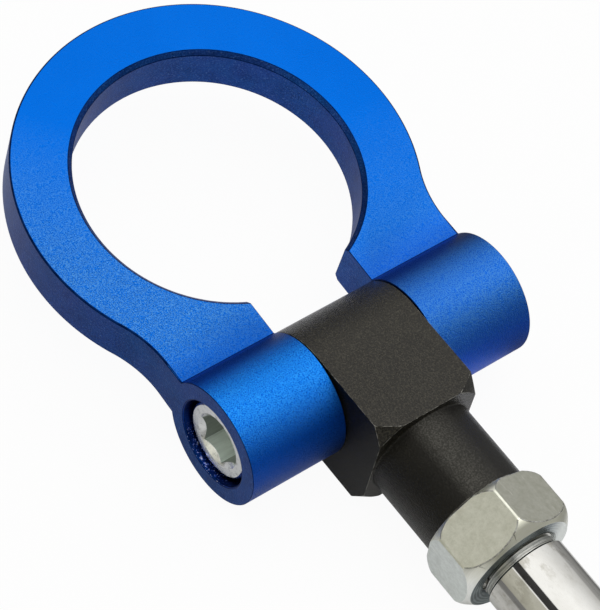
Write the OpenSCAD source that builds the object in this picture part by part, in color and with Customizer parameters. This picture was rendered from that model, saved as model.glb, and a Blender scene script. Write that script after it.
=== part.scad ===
// Folding tow hook: an open ring on a fork, a pivot bolt, a swivel block,
// a lock nut and a threaded tow bar.
// Millimetres. X runs along the bar towards the ring, Y along the pivot bolt,
// Z is up. The origin is the centre of the shoulder at the tow thread.

/* [Ring] */
// Inner diameter of the ring's eye
eye_d = 57.4; // [46:0.02:70]
// Width of the ring between its eye and its outer edge
ring_wall = 12.35; // [9:0.05:18]
// Thickness of the ring plate
ring_t = 10.8; // [8:0.1:14]
// Distance from the pivot axis to the near rim of the eye
eye_gap = 17.55; // [16:0.05:24]
// Bevel at both rims of the eye
eye_bevel = 0.9; // [0.3:0.1:1.5]
// Bevel along the outer edges of the ring and arms
rim_bevel = 0.5; // [0.2:0.1:1]
// Radius of the hollow between ring and knuckles
arm_hollow_r = 25; // [20:1:30]
// Angle that the ring is raised from the bar
ring_raise = 3.8; // [0:0.1:15]

/* [Fork] */
// Width over both knuckles
fork_w = 67.5; // [54:0.5:81]
// Diameter of the knuckles
knuckle_d = 25.5; // [22:0.5:30]
// Room between the block and each knuckle
side_play = 0.3; // [0.2:0.05:0.5]

/* [Swivel block] */
// Width of the block between the knuckles
block_w = 23.2; // [19:0.02:28]
// Height of the block, also the diameter of its round end
block_h = 25.2; // [22:0.1:30]
// Distance from the pivot axis to the block's shoulder
block_nose = 20.8; // [18:0.1:26]
// How far the turned bevel cuts into the block's front corners
nose_bevel = 2.8; // [0.5:0.1:4]
// How far the neck lies inside the block's narrower sides
neck_step = 0.4; // [0.2:0.1:1.4]
// Length of the neck
neck_len = 18.1; // [14:0.1:26]
// Rounding where the neck leaves the shoulder
neck_root_r = 0.35; // [0.1:0.05:0.8]

/* [Pivot bolt] */
// Thread diameter of the bolt
bolt_d = 10; // [8:0.5:12]
// Diameter of the bolt head
bolt_head_d = 16; // [14:0.5:19]
// Height of the bolt head
bolt_head_h = 10; // [6:0.5:11]
// Width across the flats of the hexagon socket
socket_af = 9.6; // [5:0.1:10]
// Depth of the hexagon socket
socket_depth = 5; // [3:0.5:5.5]
// Angle of one corner of the socket above the X axis
socket_turn = 9; // [0:1:59]
// Depth of the head below the knuckle's end face
head_sink = 1.25; // [0.25:0.25:2]
// Depth of the bolt's tip below the other end face
tip_sink = 1.25; // [0.25:0.25:6]

/* [Lock nut] */
// Width across the flats of the nut
nut_af = 24; // [22:1:27]
// Height of the nut
nut_h = 12; // [8:0.5:15]
// How far the nut's round faces lie inside its flats
nut_face_step = 0.6; // [0.3:0.1:1.2]
// How far the rim beside the neck lies outside the nut's flats
nut_back_rim = 0.3; // [0.1:0.1:1.2]
// Angle of one corner of the nut above the Y axis
nut_turn = 23.5; // [0:0.5:60]

/* [Tow bar] */
// Height of the bar's shoulders over the threads
bar_step = 0.6; // [0.5:0.1:2]
// Length of the bar between its two shoulders
bar_len = 100; // [60:1:180]
// Diameter of both threads
thread_d = 16; // [12:0.1:19.2]
// Length of the tow thread
tow_thread_len = 30; // [20:1:45]
// Bare thread between the nut and the bar
thread_gap = 1.7; // [1:0.1:5]
// Metal left between the threaded hole and the bolt's bore
bore_web = 8.8; // [3:0.2:14]
// Bevel on the bar's shoulders
bar_bevel = 0.4; // [0.2:0.1:0.6]
// Bevel on the thread ends
thread_bevel = 1.5; // [1:0.1:2]

/* [Clearances] */
// Radial clearance of the bolt in the block
pivot_clear = 0.06; // [0.02:0.01:0.1]
// Radial clearance between thread and thread
thread_clear = 0.05; // [0.02:0.01:0.1]
// Radial clearance of the bolt in the near knuckle
passage_clear = 0.25; // [0.1:0.05:0.5]
// Radial clearance of the bolt head in its pocket
head_clear = 1; // [0.5:0.1:1.5]
// Depth left below the stud in the neck
stud_room = 1.5; // [1:0.1:3]

/* [Hidden] */
$fn = 96;

half_t = ring_t / 2;
half_fork = fork_w / 2;
half_gap = block_w / 2 + side_play;
eye_r = eye_d / 2;
eye_reach = eye_gap + eye_r;
ring_d = eye_d + 2 * ring_wall;
ring_r = ring_d / 2;

// The hollow's centre lies where its circle touches both the ring's circle
// and the straight side of the arm.
hollow_y = half_fork + arm_hollow_r;
hollow_reach = sqrt(pow(ring_r + arm_hollow_r, 2) - pow(hollow_y, 2));
hollow_x = eye_reach - hollow_reach;
touch = ring_r / (ring_r + arm_hollow_r);
touch_x = eye_reach - hollow_reach * touch;
touch_y = hollow_y * touch;

// Stations along X, from the tow thread to the ring
nut_x = bar_len + thread_gap;
neck_x = nut_x + nut_h;
pivot_x = neck_x + neck_len + block_nose;
socket_end_x = pivot_x - bolt_d / 2 - pivot_clear - bore_web;
stud_end_x = socket_end_x - stud_room;

// The neck's rounding stays inside the shoulder.
neck_d = min(block_w, block_h) - 2 * neck_step;
root_r = min(neck_root_r, neck_step);
nose_d = norm([block_w, block_h]) - 2 * nose_bevel;

nut_face_d = nut_af - 2 * nut_face_step;
thread_hole_d = thread_d + 2 * thread_clear;

head_top_y = half_fork - head_sink;
head_seat_y = head_top_y - bolt_head_h;
bolt_tip_y = tip_sink - half_fork;
pocket_d = bolt_head_d + 2 * head_clear;
tip_bevel = 1;
head_bevel = 0.45;
socket_corner = socket_af / 2 / cos(30);
socket_lead = 0.3;
socket_cone = 1.4;
stud_bevel = 1;
nut_lead = 0.7;
neck_edge = 0.4;

// Turns a shape built along Z so that it lies along X or along Y.
module along_x() {
  rotate([0, 90, 0]) children();
}

module along_y() {
  rotate([-90, 0, 0]) children();
}

// Cylinder from a to b along its axis, with a 45 degree bevel at either end.
module rod(a, b, d, bevel_a = 0, bevel_b = 0) {
  r = d / 2;
  rotate_extrude()
    polygon([
      [0, a], [r - bevel_a, a], [r, a + bevel_a],
      [r, b - bevel_b], [r - bevel_b, b], [0, b]
    ]);
}

// Cutter for a hole from a to b that widens by lead at either end.
module hole(a, b, d, lead_a = 0, lead_b = 0) {
  r = d / 2;
  rotate_extrude()
    polygon([
      [0, a - 1], [r + lead_a + 1, a - 1], [r, a + lead_a],
      [r, b - lead_b], [r + lead_b + 1, b + 1], [0, b + 1]
    ]);
}

// Cutter for a hole from its mouth at a to its floor at b.
module blind_hole(a, b, d, lead = 0) {
  r = d / 2;
  rotate_extrude()
    polygon([
      [0, a - 1], [r + lead + 1, a - 1], [r, a + lead], [r, b], [0, b]
    ]);
}

// Plate of the two arms, before their hollows are cut.
module arm_plate() {
  translate([0, 0, -half_t])
    linear_extrude(ring_t)
      polygon([
        [0, -half_fork], [hollow_x, -half_fork], [touch_x, -touch_y],
        [touch_x, touch_y], [hollow_x, half_fork], [0, half_fork]
      ]);
}

// Round cutter for one hollow, flared at both faces to bevel the edge.
module arm_hollow(side) {
  translate([hollow_x, side * hollow_y, 0])
    rotate_extrude()
      polygon([
        [0, -half_t - 1], [arm_hollow_r + rim_bevel + 1, -half_t - 1],
        [arm_hollow_r, -half_t + rim_bevel], [arm_hollow_r, half_t - rim_bevel],
        [arm_hollow_r + rim_bevel + 1, half_t + 1], [0, half_t + 1]
      ]);
}

// Long wedge that bevels the straight edge of an arm up to the hollow.
module arm_edge(side, face) {
  translate([-1, side * half_fork, face * half_t])
    rotate([45, 0, 0])
      translate([0, -rim_bevel / sqrt(2), -rim_bevel / sqrt(2)])
        cube([hollow_x + 1, rim_bevel * sqrt(2), rim_bevel * sqrt(2)]);
}

module knuckle(side) {
  along_y()
    if (side > 0)
      rod(half_gap, half_fork, knuckle_d);
    else
      rod(-half_fork, -half_gap, knuckle_d);
}

// One piece: open ring, two arms and two knuckles.
module ring_body() {
  difference() {
    union() {
      difference() {
        arm_plate();
        for (side = [-1, 1]) {
          arm_hollow(side);
          arm_edge(side, 1);
          arm_edge(side, -1);
        }
      }
      translate([eye_reach, 0, 0])
        rod(-half_t, half_t, ring_d, rim_bevel, rim_bevel);
      knuckle(1);
      knuckle(-1);
    }
    translate([eye_reach, 0, 0])
      hole(-half_t, half_t, eye_d, eye_bevel, eye_bevel);
    translate([-knuckle_d, -half_gap, -knuckle_d])
      cube([knuckle_d + eye_reach, 2 * half_gap, 2 * knuckle_d]);
    // bolt passage and head pocket in the near knuckle
    along_y()
      rod(0, half_fork, bolt_d + 2 * passage_clear);
    along_y()
      rod(head_seat_y, half_fork + 1, pocket_d);
    // tapped hole in the far knuckle
    along_y()
      rod(-half_fork - 1, 0, bolt_d + 2 * thread_clear);
  }
}

module tow_ring() {
  color([0.03, 0.35, 0.85])
    translate([pivot_x, 0, 0])
      rotate([0, -ring_raise, 0])
        ring_body();
}

// The block's side view, swept across its width.
module block_slab() {
  translate([0, block_w / 2, 0])
    rotate([90, 0, 0])
      linear_extrude(block_w)
        union() {
          circle(d = block_h);
          translate([-block_nose, -block_h / 2])
            square([block_nose, block_h]);
        }
}

// Turned envelope whose cone bevels the block's four front corners.
module nose_cone() {
  reach = block_w + block_h;
  along_x()
    rotate_extrude()
      polygon([
        [0, -block_nose], [nose_d / 2, -block_nose],
        [nose_d / 2 + reach, reach - block_nose], [0, reach - block_nose]
      ]);
}

// Neck with a rounded root at the shoulder.
module neck() {
  r = neck_d / 2;
  along_x()
    rotate_extrude()
      difference() {
        polygon([
          [0, -block_nose - neck_len], [r - neck_edge, -block_nose - neck_len],
          [r, -block_nose - neck_len + neck_edge], [r, -block_nose - root_r],
          [r + root_r, -block_nose], [r, -block_nose + 1], [0, -block_nose + 1]
        ]);
        translate([r + root_r, -block_nose - root_r])
          circle(r = root_r);
      }
}

module swivel_block() {
  color([0.12, 0.12, 0.11])
    translate([pivot_x, 0, 0])
      difference() {
        union() {
          intersection() {
            block_slab();
            nose_cone();
          }
          neck();
        }
        along_y()
          hole(-block_w / 2, block_w / 2, bolt_d + 2 * pivot_clear, neck_edge, neck_edge);
        translate([-pivot_x, 0, 0])
          along_x()
            blind_hole(neck_x, socket_end_x, thread_hole_d, neck_edge);
      }
}

// Cap screw with a hexagon socket; it turns with the ring.
module pivot_bolt() {
  color([0.78, 0.79, 0.78])
    translate([pivot_x, 0, 0])
      along_y()
        difference() {
          union() {
            rod(head_seat_y, head_top_y, bolt_head_d, 0, head_bevel);
            rod(bolt_tip_y, head_seat_y + 1, bolt_d, tip_bevel, 0);
          }
          translate([0, 0, head_top_y - socket_depth])
            rotate([0, 0, -socket_turn])
              cylinder(h = socket_depth + 1, r = socket_corner, $fn = 6);
          // turned lead-in that scallops the six flats
          translate([0, 0, head_top_y])
            rotate_extrude()
              polygon([
                [0, -socket_cone], [socket_corner + socket_lead - socket_cone, -socket_cone],
                [socket_corner + socket_lead, 0], [socket_corner + socket_lead, 1], [0, 1]
              ]);
        }
}

module lock_nut() {
  corner = nut_af / 2 / cos(30);
  face_cone = corner + 1 - nut_face_d / 2;
  back_cone = corner + 1 - nut_af / 2 - nut_back_rim;
  color([0.68, 0.68, 0.62])
    along_x()
      difference() {
        intersection() {
          translate([0, 0, nut_x])
            rotate([0, 0, 90 + nut_turn])
              cylinder(h = nut_h, r = corner, $fn = 6);
          rod(nut_x, neck_x, 2 * corner + 2, face_cone, back_cone);
        }
        hole(nut_x, nut_x + nut_h, thread_hole_d, nut_lead, nut_lead);
      }
}

// Bar with the stud for the neck at one end and the tow thread at the other.
module tow_shaft() {
  thread_r = thread_d / 2;
  bar_r = thread_r + bar_step;
  color([0.82, 0.82, 0.80])
    along_x()
      rotate_extrude()
        polygon([
          [0, -tow_thread_len], [thread_r - thread_bevel, -tow_thread_len],
          [thread_r, thread_bevel - tow_thread_len], [thread_r, 0],
          [bar_r - bar_bevel, 0], [bar_r, bar_bevel],
          [bar_r, bar_len - bar_bevel], [bar_r - bar_bevel, bar_len],
          [thread_r, bar_len], [thread_r, stud_end_x - stud_bevel],
          [thread_r - stud_bevel, stud_end_x], [0, stud_end_x]
        ]);
}

tow_ring();
swivel_block();
pivot_bolt();
lock_nut();
tow_shaft();
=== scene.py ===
"""Folding tow hook: looks, floor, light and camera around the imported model."""

import math

import bmesh
import bpy
import numpy as np
from mathutils import Matrix, Vector


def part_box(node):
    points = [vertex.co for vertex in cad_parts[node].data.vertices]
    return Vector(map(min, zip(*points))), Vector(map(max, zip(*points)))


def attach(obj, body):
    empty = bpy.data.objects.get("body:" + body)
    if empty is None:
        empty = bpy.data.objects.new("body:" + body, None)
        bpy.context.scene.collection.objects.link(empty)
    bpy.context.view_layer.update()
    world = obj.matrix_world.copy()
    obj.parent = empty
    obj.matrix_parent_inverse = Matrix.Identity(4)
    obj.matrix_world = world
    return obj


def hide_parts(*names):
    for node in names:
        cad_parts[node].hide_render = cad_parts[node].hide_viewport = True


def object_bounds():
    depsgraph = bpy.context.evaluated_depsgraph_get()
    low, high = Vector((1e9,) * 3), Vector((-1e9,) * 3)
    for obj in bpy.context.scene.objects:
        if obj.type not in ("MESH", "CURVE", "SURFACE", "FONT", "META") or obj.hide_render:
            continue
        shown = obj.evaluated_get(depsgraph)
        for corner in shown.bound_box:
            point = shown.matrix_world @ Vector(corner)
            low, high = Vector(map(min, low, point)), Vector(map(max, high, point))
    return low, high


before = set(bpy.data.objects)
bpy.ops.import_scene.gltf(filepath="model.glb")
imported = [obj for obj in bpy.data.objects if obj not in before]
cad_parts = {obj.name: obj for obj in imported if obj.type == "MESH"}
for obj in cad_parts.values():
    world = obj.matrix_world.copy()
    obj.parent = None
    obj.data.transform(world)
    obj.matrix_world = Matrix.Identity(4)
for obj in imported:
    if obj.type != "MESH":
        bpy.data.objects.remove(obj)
cad_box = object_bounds()

# Shapes are made in millimetres and written in metres. Places in materials are in metres.
MM = 0.001


def box_mm(node):
    """Lowest and highest corner of a CAD node in millimetres."""
    low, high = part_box(node)
    return np.array(low) / MM, np.array(high) / MM


# The CAD nodes' boxes give the places that the shapes share
ring_low, ring_high = box_mm("tow_ring")
block_low, block_high = box_mm("swivel_block")
nut_low, nut_high = box_mm("lock_nut")
bolt_low, bolt_high = box_mm("pivot_bolt")
shaft_low, shaft_high = box_mm("tow_shaft")
PIVOT_X = (bolt_low[0] + bolt_high[0]) / 2

# Ring, with its tilt above the bar in degrees
RING_RAISE = 3.8
RING_R = (ring_high[1] - ring_low[1]) / 2
RING_WALL = 12.35
EYE_R = RING_R - RING_WALL
# Pivot's axis to the eye's rim
EYE_GAP = 17.55
EYE_X = EYE_GAP + EYE_R
PLATE_HALF = 5.4
EYE_BEVEL = 0.9
RIM_BEVEL = 0.5
RING_EDGE = 0.18
# Hollow between the ring and an arm
HOLLOW_R = 25.0
KNUCKLE_R = 12.75
# The bolt's head lies this deep in the knuckle
HEAD_SUNK = 1.25
FORK_HALF = bolt_high[1] + HEAD_SUNK
# Painted shade on a knuckle beside the plate: degrees from its top, spread and depth
CORNER_DARKEST = 50
CORNER_SPREAD = 15
CORNER_DARK = 0.85
# The same on the near knuckle's side away from the plate
BACK_DARKEST = -95
BACK_SPREAD = 28
BACK_DARK = 0.65
SIDE_PLAY = 0.3

# Swivel block
BLOCK_W = block_high[1] - block_low[1]
BLOCK_H = block_high[2] - block_low[2]
# Pivot's axis to the shoulder
BLOCK_NOSE = 20.8
NOSE_BEVEL = 2.8
NECK_STEP = 0.4
NECK_X = block_low[0]
NECK_ROOT = 0.35
NECK_ROOT_STEPS = 6
NECK_EDGE = 0.4
STUD_ROOM = 1.5
BORE_LEAD = 0.4
BLOCK_EDGE = 0.16

# Pivot bolt
BOLT_R = 5.0
HEAD_R = 8.0
HEAD_H = 10.0
HEAD_BEVEL = 0.45
HEAD_EDGE = 0.1
SOCKET_AF = 9.6
SOCKET_DEPTH = 5.0
SOCKET_TURN = 9
SOCKET_LEAD = 0.3
SOCKET_CONE = 1.4
# Socket walls between these places across it get painted light, the others painted shade
SOCKET_PAINTED_LIGHT = (-3.4, 1.9)
TIP_BEVEL = 1.0
PIVOT_CLEAR = 0.06
PASSAGE_CLEAR = 0.25
HEAD_CLEAR = 1.0
THREAD_CLEAR = 0.05
TAP_LEAD = 0.35
POCKET_LEAD = 0.25
# Lengths over which a turned radius jumps
SEAT_JUMP = 0.001
PASSAGE_JUMP = 0.01

# Lock nut, with one corner's angle above the Y axis in degrees
NUT_AF = 24.0
NUT_FACE_R = NUT_AF / 2 - 0.6
NUT_BACK_R = NUT_AF / 2 + 0.3
NUT_TURN = 23.5
NUT_LEAD = 0.7
NUT_CORNER_R = 0.8
NUT_ROUND = 4.0
NUT_EDGE = 0.15
# Points of the nut closer than this are one
NUT_JOIN = 0.06

# Tow bar
BAR_LEN = 100.0
THREAD_R = 8.0
BAR_R = THREAD_R + 0.6
BAR_BEVEL = 0.4
PITCH = 1.5
THREAD_DEPTH = 0.6134 * PITCH
# Shares of a turn where the crest starts and ends and the root starts and ends
THREAD_BREAKS = (0.0, 0.125, 0.4375, 0.6875)
# No crest comes closer to a thread's end than this
THREAD_MARGIN = 0.05
RELIEF_R = 7.9
RELIEF_LEN = 1.45
RELIEF_GROOVES = 3
# Part of a groove's spacing that lies before the first one
RELIEF_FIRST = 0.7
GROOVE = 0.1
THREAD_BEVEL = 1.5
STUD_BEVEL = 1.0
# A bevel of the bar is rounded by a point this far in, at this share of its height
BAR_LIP = 0.05
BAR_LIP_SHARE = 0.6
# A ring of points this far past a bevel keeps the bar's shading straight
BAR_LOOP = 0.1
BAR_SHARP = 28

# Steps round a drawn circle and along a short arc
FINE = 256
ROUND = 128
SHORT = 32

# Cutters reach this far past a face
OVER = 1.0
# Softened edges: their steps, and the least angle between faces that gets one, in degrees
EDGE_STEPS = 2
EDGE_ANGLE = 20
# Points closer than this are one, before the edges are softened and after
JOIN = 0.02
WELD = 0.004


# Mesh helpers, all in millimetres

def mesh_of(points, faces):
    """Mesh with its faces turned outwards."""
    mesh = bpy.data.meshes.new("part")
    mesh.from_pydata([tuple(p) for p in points], [], faces)
    work = bmesh.new()
    work.from_mesh(mesh)
    bmesh.ops.recalc_face_normals(work, faces=work.faces)
    work.to_mesh(mesh)
    work.free()
    return mesh


def arc(cx, cy, r, start, end, steps):
    """Points on a circle from one angle in degrees to another."""
    angles = np.radians(np.linspace(start, end, steps + 1))
    return [(cx + r * math.cos(a), cy + r * math.sin(a)) for a in angles]


def rounded_polygon(sides, corner, turn, r, steps):
    """Regular polygon with rounded corners; turn is one corner's angle in degrees."""
    half = 180 / sides
    out = corner - r / math.cos(math.radians(half))
    points = []
    for k in range(sides):
        angle = turn + 2 * half * k
        cx = out * math.cos(math.radians(angle))
        cy = out * math.sin(math.radians(angle))
        points += arc(cx, cy, r, angle - half, angle + half, steps)
    return points


def prism(outline, low, high):
    """Solid of one closed outline in X and Y, from low to high in Z."""
    n = len(outline)
    points = [(x, y, low) for x, y in outline] + [(x, y, high) for x, y in outline]
    faces = [tuple(reversed(range(n))), tuple(range(n, 2 * n))]
    for i in range(n):
        j = (i + 1) % n
        faces.append((i, j, n + j, n + i))
    return mesh_of(points, faces)


def tube(rings):
    """Closed skin over rings of points that have the same count, with a cap at each end."""
    n = len(rings[0])
    points = [p for ring in rings for p in ring]
    faces = [tuple(range(n))]
    for k in range(len(rings) - 1):
        for i in range(n):
            j = (i + 1) % n
            a = k * n
            b = a + n
            faces.append((a + i, b + i, b + j, a + j))
    last = (len(rings) - 1) * n
    faces.append(tuple(last + i for i in reversed(range(n))))
    return mesh_of(points, faces)


def lathe(profile, count=ROUND):
    """Solid turned about X through (x, radius) pairs, in order of x."""
    turn = [2 * math.pi * i / count for i in range(count)]
    return tube([[(x, r * math.cos(t), r * math.sin(t)) for t in turn] for x, r in profile])


def turned(mesh, matrix):
    """Mesh after a transform, which changes it in place."""
    mesh.transform(matrix)
    return mesh


def along_y(mesh):
    """Turns a shape that lies along X so that it lies along Y."""
    return turned(mesh, Matrix.Rotation(math.pi / 2, 4, "Z"))


def moved(mesh, x):
    """Shifts a shape along X."""
    return turned(mesh, Matrix.Translation((x, 0, 0)))


def combine(mesh, other, how):
    """Mesh after a boolean with another mesh; how is INTERSECT, UNION or DIFFERENCE."""
    base = bpy.data.objects.new("base", mesh)
    tool = bpy.data.objects.new("tool", other)
    for thing in (base, tool):
        bpy.context.scene.collection.objects.link(thing)
    step = base.modifiers.new("step", "BOOLEAN")
    step.operation = how
    step.object = tool
    step.solver = "EXACT"
    graph = bpy.context.evaluated_depsgraph_get()
    result = bpy.data.meshes.new_from_object(base.evaluated_get(graph))
    bpy.data.objects.remove(base)
    bpy.data.objects.remove(tool)
    return result


def bevel_where(mesh, test, width):
    """Flat bevel on each edge that passes the test."""
    work = bmesh.new()
    work.from_mesh(mesh)
    bmesh.ops.remove_doubles(work, verts=work.verts, dist=1e-4)
    edges = [e for e in work.edges if test(e)]
    bmesh.ops.bevel(work, geom=edges, offset=width, offset_type="OFFSET", segments=1,
                    profile=0.5, affect="EDGES", clamp_overlap=True)
    work.to_mesh(mesh)
    work.free()
    return mesh


def drilled(start, end, r, lead):
    """Profile of a through hole's cutter with a 45 degree lead at both ends."""
    wide = r + lead + OVER
    return [(start - OVER, wide), (start + lead, r), (end - lead, r), (end + OVER, wide)]


def add_piece(name, mesh, node, body, materials, edge=0.0, worn=-1, clamp=True):
    """Makes the piece that stands for a CAD node, with softened edges; worn is their material."""
    mesh.transform(Matrix.Scale(MM, 4))
    work = bmesh.new()
    work.from_mesh(mesh)
    bmesh.ops.remove_doubles(work, verts=work.verts, dist=JOIN * MM)
    bmesh.ops.recalc_face_normals(work, faces=work.faces)
    work.to_mesh(mesh)
    work.free()
    mesh.shade_smooth()
    piece = bpy.data.objects.new(name, mesh)
    bpy.context.scene.collection.objects.link(piece)
    for material in materials:
        mesh.materials.append(material)
    if edge:
        soften = piece.modifiers.new("edges", "BEVEL")
        soften.width = edge * MM
        soften.segments = EDGE_STEPS
        soften.limit_method = "WEIGHT" if "bevel_weight_edge" in mesh.attributes else "ANGLE"
        soften.angle_limit = math.radians(EDGE_ANGLE)
        soften.material = worn
        soften.use_clamp_overlap = clamp
        weld = piece.modifiers.new("weld", "WELD")
        weld.mode = "CONNECTED"
        weld.merge_threshold = WELD * MM
    even = piece.modifiers.new("even_shading", "WEIGHTED_NORMAL")
    even.keep_sharp = True
    even.weight = 80
    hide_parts(node)
    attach(piece, body)
    return piece


# Material helpers

class Graph:
    """Small node tree writer."""

    def __init__(self, tree):
        self.tree = tree
        self.tree.nodes.clear()

    def node(self, kind, settings=None, **inputs):
        """New node; an input is named by its name with _ for spaces, or as i and its number."""
        made = self.tree.nodes.new(kind)
        for key, value in (settings or {}).items():
            setattr(made, key, value)
        for key, value in inputs.items():
            name = key.replace("_", " ")
            place = made.inputs[int(key[1:])] if key[1:].isdigit() else made.inputs[name]
            self.feed(place, value)
        return made

    def feed(self, place, value):
        """Sets an input to a value or links a socket to it."""
        if isinstance(value, bpy.types.NodeSocket):
            self.tree.links.new(value, place)
        else:
            place.default_value = value

    def math(self, how, a, b=0.0):
        made = self.node("ShaderNodeMath", {"operation": how})
        self.feed(made.inputs[0], a)
        self.feed(made.inputs[1], b)
        return made.outputs[0]

    def ramp(self, value, stops):
        """Colour ramp over (position, colour or grey) stops."""
        made = self.node("ShaderNodeValToRGB", Fac=value)
        line = made.color_ramp.elements
        for _ in range(len(stops) - 2):
            line.new(0.5)
        for element, (place, colour) in zip(line, stops):
            element.position = place
            grey = not hasattr(colour, "__len__")
            element.color = (colour,) * 3 + (1,) if grey else tuple(colour) + (1,)
        return made.outputs["Color"]

    def noise(self, where, scale, detail=2.0, rough=0.5):
        made = self.node("ShaderNodeTexNoise", Vector=where, Scale=scale, Detail=detail,
                         Roughness=rough)
        return made.outputs["Fac"]

    def span(self, value, low, high, at_low, at_high):
        """Value carried from low..high to at_low..at_high, held at the ends."""
        made = self.node("ShaderNodeMapRange", i0=value, i1=low, i2=high, i3=at_low, i4=at_high)
        return made.outputs[0]

    def mix(self, share, a, b):
        """Colour mix; a and b are colours or sockets."""
        made = self.node("ShaderNodeMix", {"data_type": "RGBA"})
        self.feed(made.inputs[0], share)
        self.feed(made.inputs[6], a)
        self.feed(made.inputs[7], b)
        return made.outputs[2]


def new_material(name):
    """New material and the writer of its nodes."""
    material = bpy.data.materials.new(name)
    material.use_nodes = True
    return material, Graph(material.node_tree)


def place_of(graph, stretch=(1, 1, 1)):
    """Object coordinates, scaled along each axis."""
    coords = graph.node("ShaderNodeTexCoord").outputs["Object"]
    if stretch == (1, 1, 1):
        return coords
    mapped = graph.node("ShaderNodeMapping", Vector=coords, Scale=stretch)
    return mapped.outputs["Vector"]


def bump(graph, height, depth_mm):
    """Normal of a relief that is this many millimetres deep."""
    made = graph.node("ShaderNodeBump", Strength=1.0, Distance=depth_mm * MM, Height=height)
    return made.outputs["Normal"]


# Places of tones, each from and to in metres
# Ring: from its knuckles to its plate, and along its arms, in X
PLATE_X = (0.16, 0.172)
ARM_X = (0.172, 0.2)
# Ring: pale grain, in Y less this share of X
PALE_SLANT = 0.9
PALE = (-0.18, -0.138)
# Ring: from the far knuckle to the near one in Y, the low part and the crest in Z
NEAR_Y = (-0.002, 0.002)
LOW_Z = (0.005, 0.0105)
CREST_Z = (0.007, 0.0125)
# Bolt's pocket: where it is torn
TORN_X = (0.146, 0.149)
TORN_Z = (-0.0062, -0.0035)
# Neck: both sides of the painted highlight band in Y, and its height
HIGHLIGHT_HEAD_Y = (0.0034, 0.0056)
HIGHLIGHT_FAR_Y = (-0.004, 0.0018)
HIGHLIGHT_Z = (0.0, 0.004)
# Nut: painted shade on its face in Y, the spacing of its turned rings, warmer chamfers in Z
FACE_SHADE_Y = (-0.009, -0.005)
FACE_RINGS = 0.0007
WARM_Z = (0.002, 0.009)
# Bar: dirt beside the nut in X
DIRT_X = (0.088, 0.1)

# Tints of the reflection at grazing angles
BLUE_EDGE = (0.88, 0.88, 0.93, 1)
WARM_EDGE = (1, 0.96, 0.88, 1)


def close_material(graph, **inputs):
    """Principled shader with these inputs, wired to the output."""
    shader = graph.node("ShaderNodeBsdfPrincipled", **inputs)
    graph.node("ShaderNodeOutputMaterial", Surface=shader.outputs[0])


def blue_blasted():
    """Bead-blasted and dyed faces: pale grain on one side, a smooth deep blue beyond, and painted
    light and shade on the knuckles.
    """
    material, g = new_material("blue_blasted")
    where = place_of(g)
    parts = g.node("ShaderNodeSeparateXYZ", Vector=where).outputs
    mottle = g.noise(where, 60, 3)
    ground = g.ramp(mottle, [(0.3, (0.0004, 0.128, 0.62)), (0.7, (0.0008, 0.139, 0.66))])
    grain = g.noise(where, 4400, 2, 0.6)
    slant = g.math("SUBTRACT", parts["Y"], g.math("MULTIPLY", parts["X"], PALE_SLANT))
    near = g.math("MAXIMUM", g.span(slant, *PALE, 0.03, 1.0),
                  g.span(parts["X"], *ARM_X, 0.5, 0.0))
    low = g.span(parts["Z"], *LOW_Z, 1.0, 0.0)
    knuckle = g.span(parts["X"], *PLATE_X, 1.0, 0.0)
    plate = g.math("SUBTRACT", 1.0, knuckle)
    head_side = g.span(parts["Y"], *NEAR_Y, 0.0, 1.0)
    # painted highlight: along the top of the near knuckle the blue is lighter and its pale specks
    # denser
    crest = g.math("MULTIPLY", g.span(parts["Z"], *CREST_Z, 0.0, 1.0), head_side)
    far_worn = g.math("MULTIPLY", g.math("SUBTRACT", 1.0, head_side),
                      g.math("SUBTRACT", 0.8, g.math("MULTIPLY", low, 0.5)))
    near_specks_and_highlight = g.math("ADD", g.math("MULTIPLY", crest, 0.75), g.math("MULTIPLY", head_side, 0.08))
    # the near knuckle's part of this share is a painted highlight, the far knuckle's is pale specks
    worn = g.math("ADD", far_worn, near_specks_and_highlight)
    amount = g.math("ADD", g.math("MULTIPLY", near, plate), g.math("MULTIPLY", worn, knuckle))
    peak = g.ramp(grain, [(0.43, 0.0), (0.6, 1.0)])
    # painted light: the far knuckle's blue is brighter low down than on its top
    far_barrel = g.mix(low, (0.006, 0.115, 0.58, 1), (0.008, 0.108, 0.78, 1))
    barrel = g.mix(head_side, far_barrel, (0.0008, 0.105, 0.66, 1))
    base = g.mix(knuckle, ground, barrel)
    top = g.math("MULTIPLY", crest, knuckle)
    highlit_base = g.mix(top, base, (0.001, 0.15, 0.75, 1))
    # on the near knuckle's top the specks are a brighter blue, a painted highlight
    spark = g.mix(knuckle, (0.078, 0.29, 0.72, 1),
                  g.mix(crest, (0.075, 0.26, 0.62, 1), (0.035, 0.38, 1.0, 1)))
    pale = g.mix(g.math("MULTIPLY", peak, amount), highlit_base, spark)
    # painted shade: the shade attribute darkens the blue at the knuckles' corners and on the near
    # one's back
    shade = g.node("ShaderNodeAttribute", {"attribute_name": "shade"}).outputs["Fac"]
    colour = g.mix(shade, (0.004, 0.04, 0.19, 1), pale)
    rough = g.math("ADD", g.math("MULTIPLY", grain, 0.14), 0.22)
    relief = g.math("MULTIPLY", grain, g.math("ADD", g.math("MULTIPLY", near, 0.7), 0.3))
    close_material(g, Base_Color=colour, Metallic=1.0, Roughness=rough,
                   Specular_Tint=BLUE_EDGE, Normal=bump(g, relief, 0.17))
    return material


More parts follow.
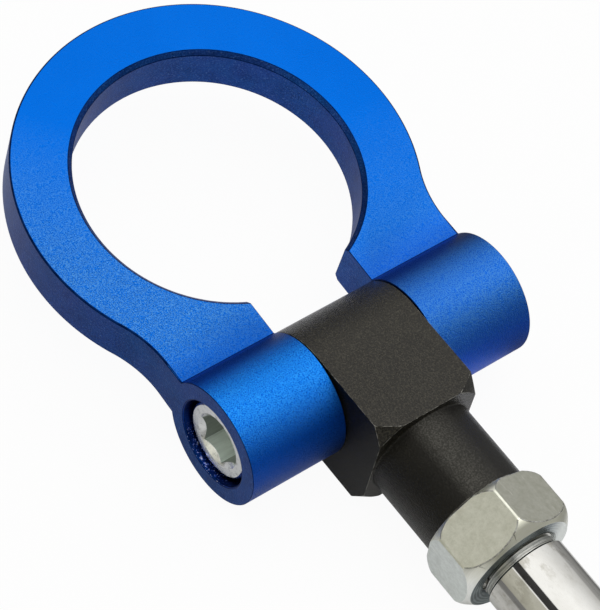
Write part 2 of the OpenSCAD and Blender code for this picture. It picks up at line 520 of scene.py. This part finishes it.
def blue_milled_and_shaded():
    """Milled walls and bevels, a darker and smoother blue with a purple cast in places; their darker
    blue is painted shade.
    """
    material, g = new_material("blue_milled_and_shaded")
    cast = g.noise(place_of(g), 70, 3, 0.6)
    colour = g.ramp(cast, [(0.35, (0.01, 0.085, 0.34)), (0.65, (0.022, 0.076, 0.34))])
    grain = g.noise(place_of(g), 3000, 2, 0.6)
    patch = g.noise(place_of(g), 260, 4, 0.65)
    dark = g.math("ADD", g.span(grain, 0.35, 0.6, 0.5, 0.0), g.span(patch, 0.4, 0.55, 0.2, 0.0))
    deep = g.mix(dark, colour, (0.003, 0.022, 0.13, 1))
    fleck = g.mix(g.span(grain, 0.6, 0.72, 0.0, 0.7), deep, (0.1, 0.19, 0.42, 1))
    close_material(g, Base_Color=fleck, Metallic=1.0, Roughness=0.36,
                   Specular_Tint=BLUE_EDGE, Normal=bump(g, grain, 0.08))
    return material


def blue_rim():
    """Broken edges of the ring, almost black."""
    material, g = new_material("blue_rim")
    dye = g.noise(place_of(g), 500, 3, 0.6)
    colour = g.ramp(dye, [(0.35, (0.001, 0.014, 0.085)), (0.7, (0.004, 0.035, 0.18))])
    close_material(g, Base_Color=colour, Metallic=1.0, Roughness=0.4, Specular_Tint=BLUE_EDGE)
    return material


def blue_bored():
    """Bored pocket: dark blue with torn, glittering tool marks."""
    material, g = new_material("blue_bored")
    marks = g.noise(place_of(g, (1, 0.6, 1)), 2600, 3, 0.7)
    parts = g.node("ShaderNodeSeparateXYZ", Vector=place_of(g)).outputs
    torn = g.math("MULTIPLY", g.span(parts["Z"], *TORN_Z, 1.0, 0.0),
                  g.span(parts["X"], *TORN_X, 0.0, 1.0))
    glitter = g.ramp(marks, [(0.54, (0.004, 0.02, 0.14)), (0.6, (0.05, 0.16, 0.9)),
                             (0.66, (0.9, 0.92, 1.0))])
    colour = g.mix(torn, (0.008, 0.05, 0.33, 1), glitter)
    close_material(g, Base_Color=colour, Metallic=1.0, Roughness=0.3,
                   Specular_Tint=BLUE_EDGE, Normal=bump(g, marks, 0.12))
    return material


def black_steel(name, shine, flecks, highlight=0.0, bare=(0.12, 0.11, 0.078, 1)):
    """Blackened steel with a fine grain; its flecks and a painted highlight are shares of bare metal
    in it.

    The painted highlight lies on top, in a band along X. bare is the metal's colour.
    """
    material, g = new_material(name)
    where = place_of(g)
    speck = g.noise(where, 3200, 2, 0.7)
    stain = g.noise(where, 120, 3, 0.6)
    dark = g.ramp(stain, [(0.35, (0.0022, 0.002, 0.0012)), (0.7, (0.006, 0.0054, 0.0034))])
    parts = g.node("ShaderNodeSeparateXYZ", Vector=where).outputs
    across = g.math("MULTIPLY", g.span(parts["Y"], *HIGHLIGHT_HEAD_Y, highlight, 0.0),
                    g.span(parts["Y"], *HIGHLIGHT_FAR_Y, 0.0, 1.0))
    band = g.math("MULTIPLY", across, g.span(parts["Z"], *HIGHLIGHT_Z, 0.0, 1.0))
    fleck = g.math("MULTIPLY", g.span(speck, 0.46, 0.66, 0.0, 1.0),
                   g.math("ADD", g.math("MULTIPLY", band, 0.6), flecks))
    share = g.math("ADD", fleck, g.math("MULTIPLY", band, 0.25))
    colour = g.mix(share, dark, bare)
    close_material(g, Base_Color=colour, Metallic=0.0, Roughness=0.16, Specular_IOR_Level=shine,
                   Specular_Tint=WARM_EDGE, Normal=bump(g, speck, 0.2))
    return material


def worn_edge():
    """Edges where the blackening is rubbed through here and there."""
    material, g = new_material("worn_edge")
    wear = g.noise(place_of(g), 900, 3, 0.7)
    colour = g.ramp(wear, [(0.44, (0.015, 0.014, 0.012)), (0.62, (0.36, 0.35, 0.31))])
    close_material(g, Base_Color=colour, Metallic=0.6, Roughness=0.4)
    return material


def zinc(name, tone, warmth, green=0.0):
    """Zinc plate with blotches and faint scratches, more or less grey, yellow and green."""
    material, g = new_material(name)
    stain = g.noise(place_of(g), 700, 8, 0.8)
    scratch = g.noise(place_of(g, (0.12, 1, 0.5)), 1700, 2, 0.5)
    low, high = 0.9 * tone, 1.1 * tone
    red = 1 - green
    plate = g.ramp(stain, [(0.38, (red * low, low, low * (1 - 1.3 * warmth))),
                           (0.62, (red * high, high, high * (1 - warmth)))])
    line = g.ramp(scratch, [(0.66, (0, 0, 0)), (0.74, (0.12, 0.12, 0.12))])
    colour = g.mix(1.0, plate, line)
    colour.node.blend_type = "ADD"
    close_material(g, Base_Color=colour, Metallic=1.0, Roughness=0.42,
                   Normal=bump(g, stain, 0.02))
    return material


def burr_line():
    """Thin dark line where the nut's flats meet its chamfers."""
    material, g = new_material("burr_line")
    dirt = g.noise(place_of(g), 1200, 3, 0.6)
    colour = g.ramp(dirt, [(0.35, (0.2, 0.2, 0.17)), (0.65, (0.6, 0.6, 0.55))])
    close_material(g, Base_Color=colour, Metallic=0.8, Roughness=0.5)
    return material


def turned_zinc():
    """Turned chamfers of the nut, brighter than its flats and warmer on top."""
    material, g = new_material("turned_zinc")
    lines = g.noise(place_of(g, (1, 0.1, 0.1)), 5000, 2, 0.5)
    plain = g.ramp(lines, [(0.3, (0.85, 0.865, 0.835)), (0.7, (0.96, 0.97, 0.94))])
    warm = g.ramp(lines, [(0.3, (0.94, 0.935, 0.76)), (0.7, (0.99, 0.985, 0.84))])
    height = g.node("ShaderNodeSeparateXYZ", Vector=place_of(g)).outputs["Z"]
    colour = g.mix(g.span(height, *WARM_Z, 0.0, 1.0), plain, warm)
    close_material(g, Base_Color=colour, Metallic=1.0, Roughness=0.34)
    return material


def shaded_bearing_face():
    """Bearing face of the nut: painted shade except on its -Y side, with turned rings about the X
    axis.
    """
    material, g = new_material("shaded_bearing_face")
    where = place_of(g)
    parts = g.node("ShaderNodeSeparateXYZ", Vector=where).outputs
    far = g.math("SQRT", g.math("ADD", g.math("MULTIPLY", parts[1], parts[1]),
                                g.math("MULTIPLY", parts[2], parts[2])))
    rings = g.math("SINE", g.math("MULTIPLY", far, 2 * math.pi / FACE_RINGS))
    smear = g.noise(where, 300, 3, 0.6)
    tone = g.math("ADD", g.math("MULTIPLY", rings, 0.2), smear)
    face_shade_tone = g.ramp(tone, [(0.2, (0.05, 0.07, 0.08)), (0.8, (0.3, 0.36, 0.38))])
    # painted shade: the face is dark, with smears, except towards -Y
    face_shade_share = g.span(parts[1], *FACE_SHADE_Y, 0.0, 1.0)
    colour = g.mix(face_shade_share, (0.72, 0.75, 0.73, 1), face_shade_tone)
    close_material(g, Base_Color=colour, Metallic=1.0, Roughness=0.35,
                   Normal=bump(g, rings, 0.01))
    return material


def bright_bolt():
    """Nickel-bright screw head, slightly hammered."""
    material, g = new_material("bright_bolt")
    dent = g.noise(place_of(g), 900, 3, 0.6)
    colour = g.ramp(dent, [(0.3, (0.5, 0.51, 0.5)), (0.42, (0.86, 0.88, 0.87)),
                           (0.6, (0.95, 0.96, 0.95))])
    close_material(g, Base_Color=colour, Metallic=1.0, Roughness=0.24,
                   Normal=bump(g, dent, 0.04))
    return material


def socket_steel(name, tone):
    """Broached walls of the socket, duller and greener than the head, with tone as a painted level
    of light.
    """
    material, g = new_material(name)
    streak = g.noise(place_of(g, (1, 0.1, 1)), 1500, 3, 0.6)
    low, high = 0.88 * tone, 1.12 * tone
    colour = g.ramp(streak, [(0.3, (0.9 * low, low, 0.92 * low)),
                             (0.7, (0.9 * high, high, 0.92 * high))])
    close_material(g, Base_Color=colour, Metallic=0.6, Roughness=0.4)
    return material


def polished_steel():
    """Plated bar, polished, with faint smudges."""
    material, g = new_material("polished_steel")
    smudge = g.noise(place_of(g, (0.5, 1, 1)), 160, 4, 0.65)
    colour = g.ramp(smudge, [(0.35, (0.6, 0.59, 0.555)), (0.6, (0.68, 0.675, 0.645))])
    dirt = g.noise(place_of(g, (0.6, 1, 1)), 420, 4, 0.65)
    place = g.node("ShaderNodeSeparateXYZ", Vector=place_of(g)).outputs["X"]
    share = g.math("MULTIPLY", g.span(place, *DIRT_X, 0.0, 0.6), g.span(dirt, 0.5, 0.64, 0, 1))
    dull = g.mix(share, colour, (0.26, 0.245, 0.19, 1))
    rough = g.math("ADD", g.math("MULTIPLY", smudge, 0.06), 0.02)
    close_material(g, Base_Color=dull, Metallic=1.0, Roughness=rough)
    return material


def turned_steel():
    """Stud, relief and tow thread: duller than the bar, with fine turning lines."""
    material, g = new_material("turned_steel")
    lines = g.noise(place_of(g, (1, 0.05, 0.05)), 6000, 2, 0.5)
    colour = g.ramp(lines, [(0.35, (0.46, 0.46, 0.43)), (0.65, (0.72, 0.72, 0.68))])
    close_material(g, Base_Color=colour, Metallic=1.0, Roughness=0.3)
    return material


# Pieces

def ring_mesh():
    """Open ring, arms and knuckles: the plan outline crossed with the side view."""
    gap = BLOCK_W / 2 + SIDE_PLAY
    back = -KNUCKLE_R - 2 * OVER
    hollow_y = FORK_HALF + HOLLOW_R
    hollow_x = EYE_X - math.sqrt((RING_R + HOLLOW_R) ** 2 - hollow_y ** 2)
    touch = math.degrees(math.atan2(hollow_y, hollow_x - EYE_X))
    mouth = math.degrees(math.asin(gap / EYE_R))
    lean = touch - 180
    plan = [(back, gap)]
    plan += arc(EYE_X, 0, EYE_R, 180 - mouth, mouth - 180, FINE)
    plan += [(back, -gap), (back, -FORK_HALF)]
    plan += arc(hollow_x, -hollow_y, HOLLOW_R, 90, -lean, SHORT)
    plan += arc(EYE_X, 0, RING_R, -touch, touch, FINE)[1:-1]
    plan += arc(hollow_x, hollow_y, HOLLOW_R, lean, -90, SHORT)
    plan += [(back, FORK_HALF)]
    body = prism(plan, -KNUCKLE_R - OVER, KNUCKLE_R + OVER)
    reach = EYE_X + RING_R + 2 * OVER
    lift = math.degrees(math.asin(PLATE_HALF / KNUCKLE_R))
    side = arc(0, 0, KNUCKLE_R, lift, 360 - lift, FINE) + [(reach, -PLATE_HALF), (reach, PLATE_HALF)]
    view = prism(side, -RING_R - 2 * OVER, RING_R + 2 * OVER)
    turned(view, Matrix.Rotation(math.pi / 2, 4, "X"))
    body = combine(body, view, "INTERSECT")

    near = 1e-3

    def plate_rim(edge):
        a, b = (v.co.z for v in edge.verts)
        return abs(a - b) < near and abs(abs(a) - PLATE_HALF) < near

    def on_eye(edge):
        far = [math.hypot(v.co.x - EYE_X, v.co.y) for v in edge.verts]
        return plate_rim(edge) and all(abs(f - EYE_R) < 10 * near for f in far)

    def on_rim(edge):
        clear = EYE_R + 3
        outside = all(math.hypot(v.co.x - EYE_X, v.co.y) > clear for v in edge.verts)
        beside_gap = all(abs(abs(v.co.y) - gap) < near for v in edge.verts)
        tilts = [abs(face.normal.z) for face in edge.link_faces]
        square = max(tilts) - min(tilts) > 0.9
        return plate_rim(edge) and outside and not beside_gap and square

    bevel_where(body, on_eye, EYE_BEVEL)
    bevel_where(body, on_rim, RIM_BEVEL)
    return body


def bolt_passage():
    """Cutter along Y for the head's pocket, the passage and the tapped hole."""
    seat = bolt_high[1] - HEAD_H
    pocket = HEAD_R + HEAD_CLEAR
    tapped = BOLT_R + THREAD_CLEAR
    passage = BOLT_R + PASSAGE_CLEAR
    profile = [(-FORK_HALF - OVER, tapped + TAP_LEAD + OVER), (-FORK_HALF + TAP_LEAD, tapped),
               (0, tapped), (PASSAGE_JUMP, passage), (seat, passage), (seat + SEAT_JUMP, pocket),
               (FORK_HALF - POCKET_LEAD, pocket), (FORK_HALF + OVER, pocket + POCKET_LEAD + OVER)]
    return along_y(lathe(profile, FINE))


# Places of the ring's materials in its list
BLASTED, MILLED_AND_SHADED, BORED, RIM = range(4)


def mark_ring(mesh):
    """Gives a material to the walls and the eye's bevel, the bolt's holes and the outer rim."""
    plate_x = KNUCKLE_R * 0.9
    hole_r = HEAD_R + HEAD_CLEAR + 0.2
    for face in mesh.polygons:
        tilt = abs(face.normal.z)
        side = abs(face.normal.y)
        centre = face.center
        wall = tilt < 0.3 and (centre.x > KNUCKLE_R or side > 0.5)
        bevel = 0.6 < tilt < 0.8 and centre.x > plate_x and abs(centre.z) < PLATE_HALF
        hole = math.hypot(centre.x, centre.z) < hole_r and side < 0.8
        outer = math.hypot(centre.x - EYE_X, centre.y) > EYE_R + 2 * EYE_BEVEL
        if hole:
            face.material_index = BORED
        elif bevel and outer:
            face.material_index = RIM
        else:
            face.material_index = MILLED_AND_SHADED if wall or bevel else BLASTED


def shade_corner(mesh):
    """Point attribute of painted shade: how light the blue is, less at a knuckle's corner and on its
    back.
    """
    shade = mesh.attributes.new("shade", "FLOAT", "POINT")
    for vertex, value in zip(mesh.vertices, shade.data):
        x, y, z = vertex.co
        round_part = abs(math.hypot(x, z) - KNUCKLE_R) < 0.1
        around = math.degrees(math.atan2(x, abs(z)))
        corner = CORNER_DARK * math.exp(-((around - CORNER_DARKEST) / CORNER_SPREAD) ** 2)
        back = BACK_DARK * math.exp(-((around - BACK_DARKEST) / BACK_SPREAD) ** 2)
        value.value = 1 - (corner + back * (y > 0)) * round_part


def make_ring():
    """Ring with its holes, tilted up about the pivot."""
    body = ring_mesh()
    body = combine(body, bolt_passage(), "DIFFERENCE")
    mark_ring(body)
    shade_corner(body)
    turned(body, Matrix.Rotation(-math.radians(RING_RAISE), 4, "Y"))
    moved(body, PIVOT_X)
    return add_piece("anodised_ring", body, "tow_ring", "ring",
                     [blue_blasted(), blue_milled_and_shaded(), blue_bored(), blue_rim()], edge=RING_EDGE,
                     worn=RIM)


# Places of the block's materials in its list, after the one for its top
WORN, SIDE, NECK = range(1, 4)


def make_block():
    """Round-ended slab crossed with a turned nose, shoulder and neck."""
    half_h = BLOCK_H / 2
    neck_r = min(BLOCK_W, BLOCK_H) / 2 - NECK_STEP
    neck_x = NECK_X - PIVOT_X
    nose_r = math.hypot(BLOCK_W, BLOCK_H) / 2 - NOSE_BEVEL
    start = neck_x - 5 * OVER
    side = arc(0, 0, half_h, -90, 90, ROUND) + [(start, half_h), (start, -half_h)]
    slab = prism(side, -BLOCK_W / 2, BLOCK_W / 2)
    turned(slab, Matrix.Rotation(math.pi / 2, 4, "X"))
    far = half_h + 2 * OVER
    profile = [(neck_x, neck_r - NECK_EDGE), (neck_x + NECK_EDGE, neck_r)]
    profile += arc(-BLOCK_NOSE - NECK_ROOT, neck_r + NECK_ROOT, NECK_ROOT, -90, 0,
                   NECK_ROOT_STEPS)
    profile += [(-BLOCK_NOSE, nose_r), (far, nose_r + far + BLOCK_NOSE)]
    body = combine(slab, lathe(profile, FINE), "INTERSECT")
    bore = BOLT_R + PIVOT_CLEAR
    half_w = BLOCK_W / 2
    cutter = drilled(-half_w, half_w, bore, BORE_LEAD)
    body = combine(body, along_y(lathe(cutter)), "DIFFERENCE")
    hole = THREAD_R + THREAD_CLEAR
    floor_x = shaft_high[0] + STUD_ROOM - PIVOT_X
    cutter = [(neck_x - OVER, hole + BORE_LEAD + OVER), (neck_x + BORE_LEAD, hole),
              (floor_x, hole)]
    body = combine(body, lathe(cutter), "DIFFERENCE")
    moved(body, PIVOT_X)
    for face in body.polygons:
        if abs(abs(face.center.y) - half_w) < 0.01:
            face.material_index = SIDE
        elif face.center.x < PIVOT_X - BLOCK_NOSE - 0.1:
            face.material_index = NECK
    # painted shade: the block's flat sides get a darker, less shiny copy of its black
    materials = [black_steel("black_steel", 0.42, 0.34), worn_edge(),
                 black_steel("black_side", 0.1, 0.06),
                 # the neck carries a painted highlight: a band of bare metal along its top
                 black_steel("black_neck", 0.26, 0.06, 0.9, (0.108, 0.105, 0.092, 1))]
    return add_piece("black_block", body, "swivel_block", "head", materials,
                     edge=BLOCK_EDGE, worn=WORN)


# Places of the bolt's materials in its list, after the one for its head
PAINTED_SHADE_WALL, PAINTED_LIGHT_WALL = range(1, 3)


def make_bolt():
    """Cap screw with a hexagon socket and a turned lead-in."""
    top = bolt_high[1]
    seat = top - HEAD_H
    profile = [(bolt_low[1], BOLT_R - TIP_BEVEL), (bolt_low[1] + TIP_BEVEL, BOLT_R),
               (seat, BOLT_R), (seat + SEAT_JUMP, HEAD_R), (top - HEAD_BEVEL, HEAD_R),
               (top, HEAD_R - HEAD_BEVEL)]
    body = lathe(profile, FINE)
    corner = SOCKET_AF / 2 / math.cos(math.radians(30))
    # the socket's turn is measured from two corners lying along the bar
    first = -90 - SOCKET_TURN
    hexagon = arc(0, 0, corner, first, first + 300, 5)
    socket = prism(hexagon, 0, SOCKET_DEPTH + OVER)
    turned(socket, Matrix.Rotation(math.pi / 2, 4, "Y"))
    moved(socket, top - SOCKET_DEPTH)
    body = combine(body, socket, "DIFFERENCE")
    mouth = corner + SOCKET_LEAD
    cone = [(top - SOCKET_CONE, mouth - SOCKET_CONE), (top, mouth), (top + OVER, mouth + OVER)]
    body = combine(body, lathe(cone, FINE), "DIFFERENCE")
    for face in body.polygons:
        deep = face.center.x < top - 0.05
        inside = math.hypot(face.center.y, face.center.z) < mouth
        if deep and inside and abs(face.normal.x) < 0.3:
            # painted light and shade: the walls in this span get a bright copy of the steel, the
            # others a dark one
            lit_wall = SOCKET_PAINTED_LIGHT[0] < face.center.y < SOCKET_PAINTED_LIGHT[1]
            face.material_index = PAINTED_LIGHT_WALL if lit_wall else PAINTED_SHADE_WALL
    along_y(body)
    moved(body, PIVOT_X)
    return add_piece("cap_screw", body, "pivot_bolt", "ring",
                     [bright_bolt(), socket_steel("socket_steel", 0.46),
                      socket_steel("socket_painted_light", 0.95)], edge=HEAD_EDGE)


# Places of the nut's materials in its list, after the one for its plain flats
TURNED, BEARING, PAINTED_SHADE_FLATS, BURR, COLD, BACK = range(1, 7)


def make_nut():
    """Hexagon crossed with a turned body that is chamfered at both faces."""
    low, high = nut_low[0], nut_high[0]
    corner = NUT_AF / 2 / math.cos(math.radians(30))
    hexagon = rounded_polygon(6, corner, NUT_TURN, NUT_CORNER_R, 8)
    body = prism(hexagon, -OVER, high - low + OVER)
    upright = Matrix(((0, 0, 1, 0), (1, 0, 0, 0), (0, 1, 0, 0), (0, 0, 0, 1)))
    turned(body, upright)
    moved(body, low)
    # 45 degree chamfers that run out in a round, which rounds the flats' corners too
    run = NUT_ROUND * math.tan(math.radians(22.5))
    front = [(low + x, r) for x, r in
             arc(corner - NUT_FACE_R + run, corner - NUT_ROUND, NUT_ROUND, 135, 90, 12)]
    back = [(high - x, r) for x, r in
            arc(corner - NUT_BACK_R + run, corner - NUT_ROUND, NUT_ROUND, 90, 135, 12)]
    profile = [(low, NUT_FACE_R)] + front + back + [(high, NUT_BACK_R)]
    body = combine(body, lathe(profile, FINE), "INTERSECT")
    hole = THREAD_R + THREAD_CLEAR
    body = combine(body, lathe(drilled(low, high, hole, NUT_LEAD), FINE), "DIFFERENCE")
    middle = (low + high) / 2
    # a face whose normal leans along X by less than the first is upright, by more than the
    # second a chamfer
    upright_tilt = 0.02
    chamfer_tilt = 0.34
    # a flat's tone reaches this many degrees to each side of its middle
    half_flat = 25

    def off_flat(angle, flat):
        """Degrees between a direction and the nearer one of two flats that face apart."""
        return abs((angle - flat + 90) % 180 - 90)

    # painted light and shade by which way a face looks: the back chamfer gets a brighter copy of the
    # zinc, two flats a darker one and two a cooler, greener one
    for face in body.polygons:
        far = math.hypot(face.center.y, face.center.z)
        out = math.degrees(math.atan2(face.normal.z, face.normal.y)) - NUT_TURN
        if abs(face.normal.x) > upright_tilt and face.center.x < middle:
            face.material_index = BEARING if far < NUT_FACE_R else TURNED
        elif face.normal.x > chamfer_tilt:
            face.material_index = BACK
        elif off_flat(out, 90) < half_flat:
            face.material_index = PAINTED_SHADE_FLATS
        elif off_flat(out, 150) < half_flat:
            face.material_index = COLD
    work = bmesh.new()
    work.from_mesh(body)
    bmesh.ops.remove_doubles(work, verts=work.verts, dist=NUT_JOIN)
    weight = work.edges.layers.float.new("bevel_weight_edge")
    # degrees between two faces: from the first on an edge gets the burr, below the second it
    # is shaded smooth
    burr_bend = 17.2
    smooth_bend = 25
    for edge in work.edges:
        bend = math.degrees(edge.calc_face_angle(0))
        tilts = sorted(abs(face.normal.x) for face in edge.link_faces)
        burred = tilts[0] < upright_tilt and tilts[-1] > chamfer_tilt and bend > burr_bend
        radius = max(math.hypot(v.co.y, v.co.z) for v in edge.verts)
        cold = any(face.material_index == COLD for face in edge.link_faces)
        edge[weight] = float(burred and radius > NUT_FACE_R and not cold)
        edge.smooth = bend < smooth_bend
    work.to_mesh(body)
    work.free()
    materials = [zinc("zinc_nut", 0.78, 0.13), turned_zinc(), shaded_bearing_face(),
                 zinc("zinc_painted_shade", 0.45, 0.13), burr_line(), zinc("zinc_cold", 0.78, 0.025, 0.05),
                 zinc("zinc_back", 0.96, 0.13)]
    return add_piece("hex_nut", body, "lock_nut", "shaft", materials,
                     edge=NUT_EDGE, worn=BURR, clamp=False)


def thread_columns(start, end, count, end_r):
    """Columns of (x, r) down a thread; its ends run out on 45 degree cones."""
    turns = int((end - start) / PITCH) + 2
    columns = []
    for j in range(count):
        column = []
        for k in range(-1, turns):
            for part in THREAD_BREAKS:
                x = start + PITCH * (k + part + j / count)
                inside = start + THREAD_MARGIN < x < end - THREAD_MARGIN
                crest = part <= THREAD_BREAKS[1] and inside
                x = min(max(x, start), end)
                r = THREAD_R if crest else THREAD_R - THREAD_DEPTH
                r = min(r, end_r[0] + x - start, end_r[1] + end - x)
                column.append((x, r))
        columns.append(column)
    return columns


def make_shaft():
    """Bar with a stud for the neck and the tow thread, turned threads on both."""
    count = ROUND
    stud_end = shaft_high[0]
    thread_end = shaft_low[0]
    root = THREAD_R - THREAD_DEPTH

    def ring(x, r):
        return [(x, r)] * count

    def threaded(start, end, ends):
        columns = thread_columns(start, end, count, ends)
        return [[column[row] for column in columns] for row in range(len(columns[0]))]

    rows = [ring(thread_end, THREAD_R - THREAD_BEVEL)]
    rows += threaded(thread_end, -RELIEF_LEN, (THREAD_R - THREAD_BEVEL, root))
    rows += [ring(-RELIEF_LEN, root), ring(0, root)]
    lip_r = BAR_R - BAR_BEVEL * BAR_LIP_SHARE
    rows += [ring(0, BAR_R - BAR_BEVEL), ring(BAR_LIP, lip_r), ring(BAR_BEVEL, BAR_R),
             ring(BAR_BEVEL + BAR_LOOP, BAR_R)]
    rows += [ring(BAR_LEN - BAR_BEVEL - BAR_LOOP, BAR_R), ring(BAR_LEN - BAR_BEVEL, BAR_R),
             ring(BAR_LEN - BAR_LIP, lip_r), ring(BAR_LEN, BAR_R - BAR_BEVEL)]
    rows += [ring(BAR_LEN, RELIEF_R)]
    for k in range(RELIEF_GROOVES):
        x = BAR_LEN + RELIEF_LEN * (k + RELIEF_FIRST) / RELIEF_GROOVES
        rows += [ring(x - GROOVE, RELIEF_R), ring(x, RELIEF_R - GROOVE), ring(x + GROOVE, RELIEF_R)]
    rows += [ring(BAR_LEN + RELIEF_LEN, RELIEF_R)]
    rows += threaded(BAR_LEN + RELIEF_LEN, stud_end, (RELIEF_R, THREAD_R - STUD_BEVEL))
    rows += [ring(stud_end, THREAD_R - STUD_BEVEL)]
    turn = [2 * math.pi * j / count for j in range(count)]
    rings = [[(x, r * math.cos(t), r * math.sin(t)) for (x, r), t in zip(row, turn)]
             for row in rows]
    body = tube(rings)
    work = bmesh.new()
    work.from_mesh(body)
    bmesh.ops.remove_doubles(work, verts=work.verts, dist=1e-4)
    bmesh.ops.dissolve_degenerate(work, edges=work.edges, dist=1e-4)
    work.to_mesh(body)
    work.free()
    # the bar between its shoulders is polished, the rest is turned
    for face in body.polygons:
        face.material_index = int(not 0 < face.center.x < BAR_LEN)
    piece = add_piece("tow_bar", body, "tow_shaft", "shaft",
                      [polished_steel(), turned_steel()])
    piece.data.set_sharp_from_angle(angle=math.radians(BAR_SHARP))
    return piece


make_ring()
make_block()
make_bolt()
make_nut()
make_shaft()


# Floor
FLOOR_HALF = 3.0
# Share of plain white over its own shading, for the camera and for mirrored rays
FLOOR_WHITE = 0.95
FLOOR_MIRRORED = 0.15
# Painted light on the floor for all but the camera: a pool of light near the object that falls off
# to the sides across Y, with Y as a share of the reach in metres
FLOOR_PAINTED_REACH = 0.1
FLOOR_PAINTED_LIGHT = [(-1, 0.4), (-0.6, 0.3), (-0.38, 0.2), (-0.32, 0.75), (-0.2, 0.95), (0.2, 0.95),
        (0.32, 0.75), (0.6, 0.7), (0.76, 0.34), (1, 0.28)]


def make_floor():
    """Plain white floor under the object, with its shadow; for all but the camera it carries a
    painted pool of light.
    """
    mesh = bpy.data.meshes.new("floor")
    corners = [(-FLOOR_HALF, -FLOOR_HALF), (FLOOR_HALF, -FLOOR_HALF), (FLOOR_HALF, FLOOR_HALF),
               (-FLOOR_HALF, FLOOR_HALF)]
    level = cad_box[0].z
    mesh.from_pydata([(x, y, level) for x, y in corners], [], [(0, 1, 2, 3)])
    floor = bpy.data.objects.new("floor", mesh)
    bpy.context.scene.collection.objects.link(floor)
    material, g = new_material("paper")
    rays = g.node("ShaderNodeLightPath")
    mirrored = g.math("MAXIMUM", rays.outputs["Is Glossy Ray"], rays.outputs["Is Transmission Ray"])
    seen = g.math("ADD", g.math("MULTIPLY", rays.outputs["Is Camera Ray"], FLOOR_WHITE),
                  g.math("MULTIPLY", mirrored, FLOOR_MIRRORED))
    side = g.node("ShaderNodeSeparateXYZ", Vector=place_of(g)).outputs["Y"]
    share = g.math("ADD", g.math("DIVIDE", side, 2 * FLOOR_PAINTED_REACH), 0.5)
    floor_light = g.ramp(share, [(place / 2 + 0.5, light) for place, light in FLOOR_PAINTED_LIGHT])
    tone = g.mix(rays.outputs["Is Camera Ray"], floor_light, (0.9, 0.9, 0.9, 1))
    lit = g.node("ShaderNodeBsdfDiffuse", Color=tone)
    glow = g.mix(rays.outputs["Is Camera Ray"], floor_light, (1, 1, 1, 1))
    white = g.node("ShaderNodeEmission", Color=glow, Strength=1.0)
    both = g.node("ShaderNodeMixShader", i0=seen, i1=lit.outputs[0], i2=white.outputs[0])
    g.node("ShaderNodeOutputMaterial", Surface=both.outputs[0])
    mesh.materials.append(material)


make_floor()


# Studio light: level or colour by the angle about the bar's axis, 0 degrees being straight up
# and positive angles lying on the side of the bolt's head
STUDIO = [
    (-180, 0.62), (-130, 0.6), (-116, 0.22), (-80, 0.46), (-75, 0.74), (-52, 0.95),
    (-31, 1.2), (-11, 1.38), (24, 1.38), (27, 1.25), (28, 0.06), (45.4, 0.05),
    (46, 1.2), (48, 1.2), (49, (0.63, 0.62, 0.55)), (69, (0.61, 0.6, 0.52)),
    (93, (0.44, 0.43, 0.37)), (115, (0.29, 0.28, 0.24)), (124, 0.64), (134, 0.72),
    (180, 0.62),
]
# Share of that light by the direction's part along the bar, 1 being towards the ring
ENDS = [(-1, 0.22), (-0.9, 0.24), (-0.76, 0.34), (-0.54, 0.62), (-0.35, 0.95), (0, 1.3),
        (0.26, 1.0), (0.4, 0.97), (0.63, 0.8), (0.8, 0.62), (0.9, 0.15), (1, 0.05)]


def make_world():
    """Studio light for the object, and plain white for the camera."""
    world = bpy.data.worlds.new("studio")
    bpy.context.scene.world = world
    world.use_nodes = True
    g = Graph(world.node_tree)
    way = g.node("ShaderNodeTexCoord").outputs["Generated"]
    parts = g.node("ShaderNodeSeparateXYZ", Vector=way)
    x, y, z = parts.outputs
    roll = g.math("ARCTAN2", y, z)
    share = g.math("ADD", g.math("DIVIDE", roll, 2 * math.pi), 0.5)
    studio = g.ramp(share, [(angle / 360 + 0.5, light) for angle, light in STUDIO])
    front = g.ramp(g.math("ADD", g.math("MULTIPLY", x, 0.5), 0.5),
                   [(place / 2 + 0.5, light) for place, light in ENDS])
    light = g.node("ShaderNodeMix", {"data_type": "RGBA", "blend_type": "MULTIPLY"})
    g.feed(light.inputs[0], 1.0)
    g.feed(light.inputs[6], studio)
    g.feed(light.inputs[7], front)
    rays = g.node("ShaderNodeLightPath")
    seen = g.math("MAXIMUM", rays.outputs["Is Camera Ray"], rays.outputs["Is Transmission Ray"])
    colour = g.mix(seen, light.outputs[2], (1, 1, 1, 1))
    sky = g.node("ShaderNodeBackground", Color=colour, Strength=1.0)
    g.node("ShaderNodeOutputWorld", Surface=sky.outputs[0])


make_world()


# Camera, as fitted to the photograph: its place in millimetres, two of its directions, and
# its focal length in pixels of the photograph
CAMERA_AT = (-46.2312, 256.8531, 465.7964)
CAMERA_RIGHT = (-0.5953731, -0.7876812, 0.1583956)
CAMERA_DOWN = (-0.7103081, 0.4238883, -0.561944)
FOCAL_PX = 2968.68
PHOTO_W = 600
SENSOR_W = 36


def make_camera():
    """Camera of the scene at the photograph's angle."""
    data = bpy.data.cameras.new("camera")
    data.sensor_fit = "HORIZONTAL"
    data.sensor_width = SENSOR_W
    data.lens = FOCAL_PX / PHOTO_W * SENSOR_W
    data.clip_start = 0.01
    data.clip_end = 100
    camera = bpy.data.objects.new("camera", data)
    bpy.context.scene.collection.objects.link(camera)
    right = Vector(CAMERA_RIGHT)
    up = -Vector(CAMERA_DOWN)
    back = right.cross(up)
    turn = Matrix((right, up, back)).transposed().to_4x4()
    camera.matrix_world = Matrix.Translation(Vector(CAMERA_AT) * MM) @ turn
    bpy.context.scene.camera = camera


make_camera()
bpy.context.scene.view_settings.view_transform = "Standard"
